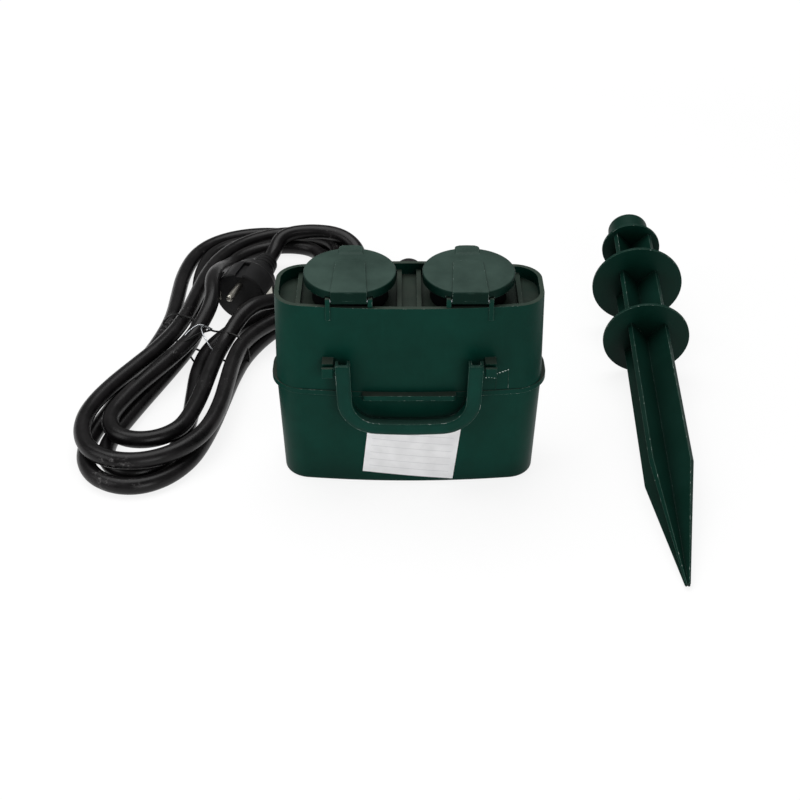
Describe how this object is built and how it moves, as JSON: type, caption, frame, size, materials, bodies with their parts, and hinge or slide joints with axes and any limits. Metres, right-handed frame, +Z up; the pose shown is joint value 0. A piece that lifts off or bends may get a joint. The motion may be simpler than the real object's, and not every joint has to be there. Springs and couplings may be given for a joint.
{
  "type": "garden socket box with ground spike",
  "caption": "Outdoor twin socket box with hinged lids, a fold-down carrying handle, a rubber mains lead in a tied hank and a separate ground spike.",
  "frame": {"origin": "middle of the mouth of the spike socket, in the plane of the underside on which the box stands", "axes": "+X to the right along the length of the box, +Y to the rear, away from the handle, +Z up"},
  "size_m": [0.3911, 0.4003, 0.1304],
  "materials": {
    "green_housing": "fine satin green moulding",
    "green_lid": "satin green moulding",
    "green_spike": "satin green moulding, slightly rougher",
    "black_insert": "black moulding",
    "seal_rubber": "soft black rubber",
    "cord_rubber": "matt black rubber sheath",
    "brass_contact": "stamped brass",
    "nickel": "nickel plated brass",
    "steel": "zinc plated steel",
    "tie_black": "plastic covered wire"
  },
  "bodies": {
    "box": {"lower_housing": "green_housing", "upper_housing": "green_housing", "housing_gasket": "seal_rubber", "left_socket_insert": "black_insert", "right_socket_insert": "black_insert", "earth_strip": "nickel", "contact_carrier": "black_insert", "carrier_screws": "steel", "live_busbar": "brass_contact", "neutral_busbar": "brass_contact", "housing_screws": "steel", "cable_gland": "seal_rubber", "left_hinge_pin": "steel", "right_hinge_pin": "steel", "cord_hank": "cord_rubber", "cord_lead": "cord_rubber", "cord_plug_lead": "cord_rubber", "plug_body": "seal_rubber", "plug_pins": "nickel", "plug_earth_strips": "nickel", "cord_tie": "tie_black"},
    "left_lid": {"left_lid": "green_lid", "left_lid_seal": "seal_rubber"},
    "right_lid": {"right_lid": "green_lid", "right_lid_seal": "seal_rubber"},
    "handle": {"handle": "green_housing"},
    "spike": {"spike": "green_spike"}
  },
  "joints": [
    {"name": "left_lid_hinge", "type": "hinge", "parent": "box", "child": "left_lid", "pos_m": [-0.0332, -0.0238, 0.1241], "axis": [1, 0, 0], "range_deg": [0, 100], "stiffness_Nm_per_rad": 0.01, "springref_deg": -20.05},
    {"name": "right_lid_hinge", "type": "hinge", "parent": "box", "child": "right_lid", "pos_m": [0.0332, -0.0238, 0.1241], "axis": [1, 0, 0], "range_deg": [0, 100], "stiffness_Nm_per_rad": 0.01, "springref_deg": -20.05},
    {"name": "handle_pivot", "type": "hinge", "parent": "box", "child": "handle", "pos_m": [0, -0.0343, 0.0852], "axis": [-1, 0, 0], "range_deg": [0, 180]},
    {"name": "spike_lift", "type": "slide", "parent": "box", "child": "spike", "axis": [0, 0, 1], "range_m": [0, 0.15]}
  ]
}
